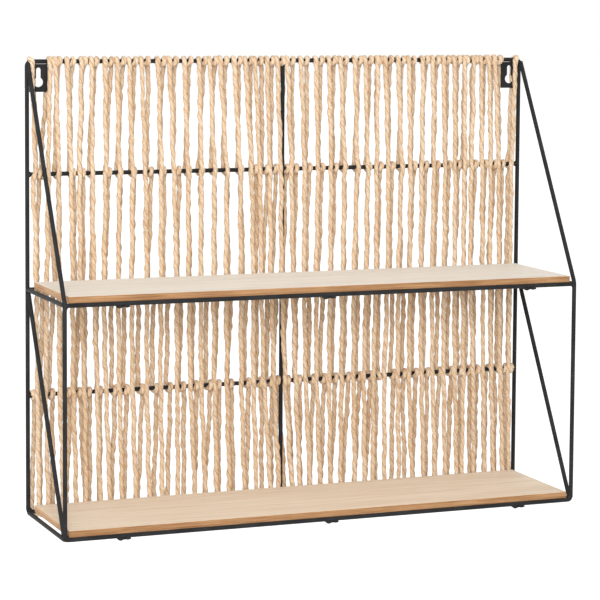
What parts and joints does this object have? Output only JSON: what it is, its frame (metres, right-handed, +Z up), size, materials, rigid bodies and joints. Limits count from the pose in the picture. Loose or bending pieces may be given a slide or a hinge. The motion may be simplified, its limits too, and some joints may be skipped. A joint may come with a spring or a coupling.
{
  "type": "hanging wall shelf",
  "caption": "Hanging wall shelf: black wire frame with keyhole hangers, a rope-wound back panel and thin wooden boards held on tabs.",
  "frame": {"origin": "on the wall plane, midway between the two keyholes, at the height of the upper ends of their slots, where the wall screws carry the shelf", "axes": "+X to the right along the shelf, +Y into the wall, +Z up"},
  "size_m": [0.6, 0.1549, 0.5094],
  "materials": {
    "frame_paint": "satin black powder coat over steel wire",
    "board_wood": "pale matt board with a brown raw edge",
    "rope_fibre": "matt twisted two-ply straw rope",
    "screw_steel": "blackened steel pan-head screw"
  },
  "bodies": {
    "root": {"left_back_post": "frame_paint", "right_back_post": "frame_paint", "top_bar": "frame_paint", "centre_post": "frame_paint", "upper_mid_bar_left": "frame_paint", "upper_mid_bar_right": "frame_paint", "shelf_back_bar_left": "frame_paint", "shelf_back_bar_right": "frame_paint", "lower_mid_bar_left": "frame_paint", "lower_mid_bar_right": "frame_paint", "left_front_wire": "frame_paint", "right_front_wire": "frame_paint", "left_brace": "frame_paint", "right_brace": "frame_paint", "left_shelf_side_bar": "frame_paint", "right_shelf_side_bar": "frame_paint", "shelf_front_bar": "frame_paint", "bottom_front_bar": "frame_paint", "bottom_back_bar": "frame_paint", "left_bottom_side_bar": "frame_paint", "right_bottom_side_bar": "frame_paint", "left_hanger_plate": "frame_paint", "right_hanger_plate": "frame_paint", "upper_board": "board_wood", "lower_board": "board_wood", "upper_front_tab_left": "frame_paint", "upper_front_tab_centre": "frame_paint", "upper_front_tab_right": "frame_paint", "upper_back_tab_left": "frame_paint", "upper_back_tab_right": "frame_paint", "lower_front_tab_left": "frame_paint", "lower_front_tab_centre": "frame_paint", "lower_front_tab_right": "frame_paint", "lower_back_tab_left": "frame_paint", "lower_back_tab_right": "frame_paint", "upper_front_screw_left": "screw_steel", "upper_front_screw_centre": "screw_steel", "upper_front_screw_right": "screw_steel", "upper_back_screw_left": "screw_steel", "upper_back_screw_right": "screw_steel", "lower_front_screw_left": "screw_steel", "lower_front_screw_centre": "screw_steel", "lower_front_screw_right": "screw_steel", "lower_back_screw_left": "screw_steel", "lower_back_screw_right": "screw_steel", "left_rope_winding": "rope_fibre", "right_rope_winding": "rope_fibre", "left_edge_rope": "rope_fibre", "right_edge_rope": "rope_fibre"}
  },
  "joints": []
}
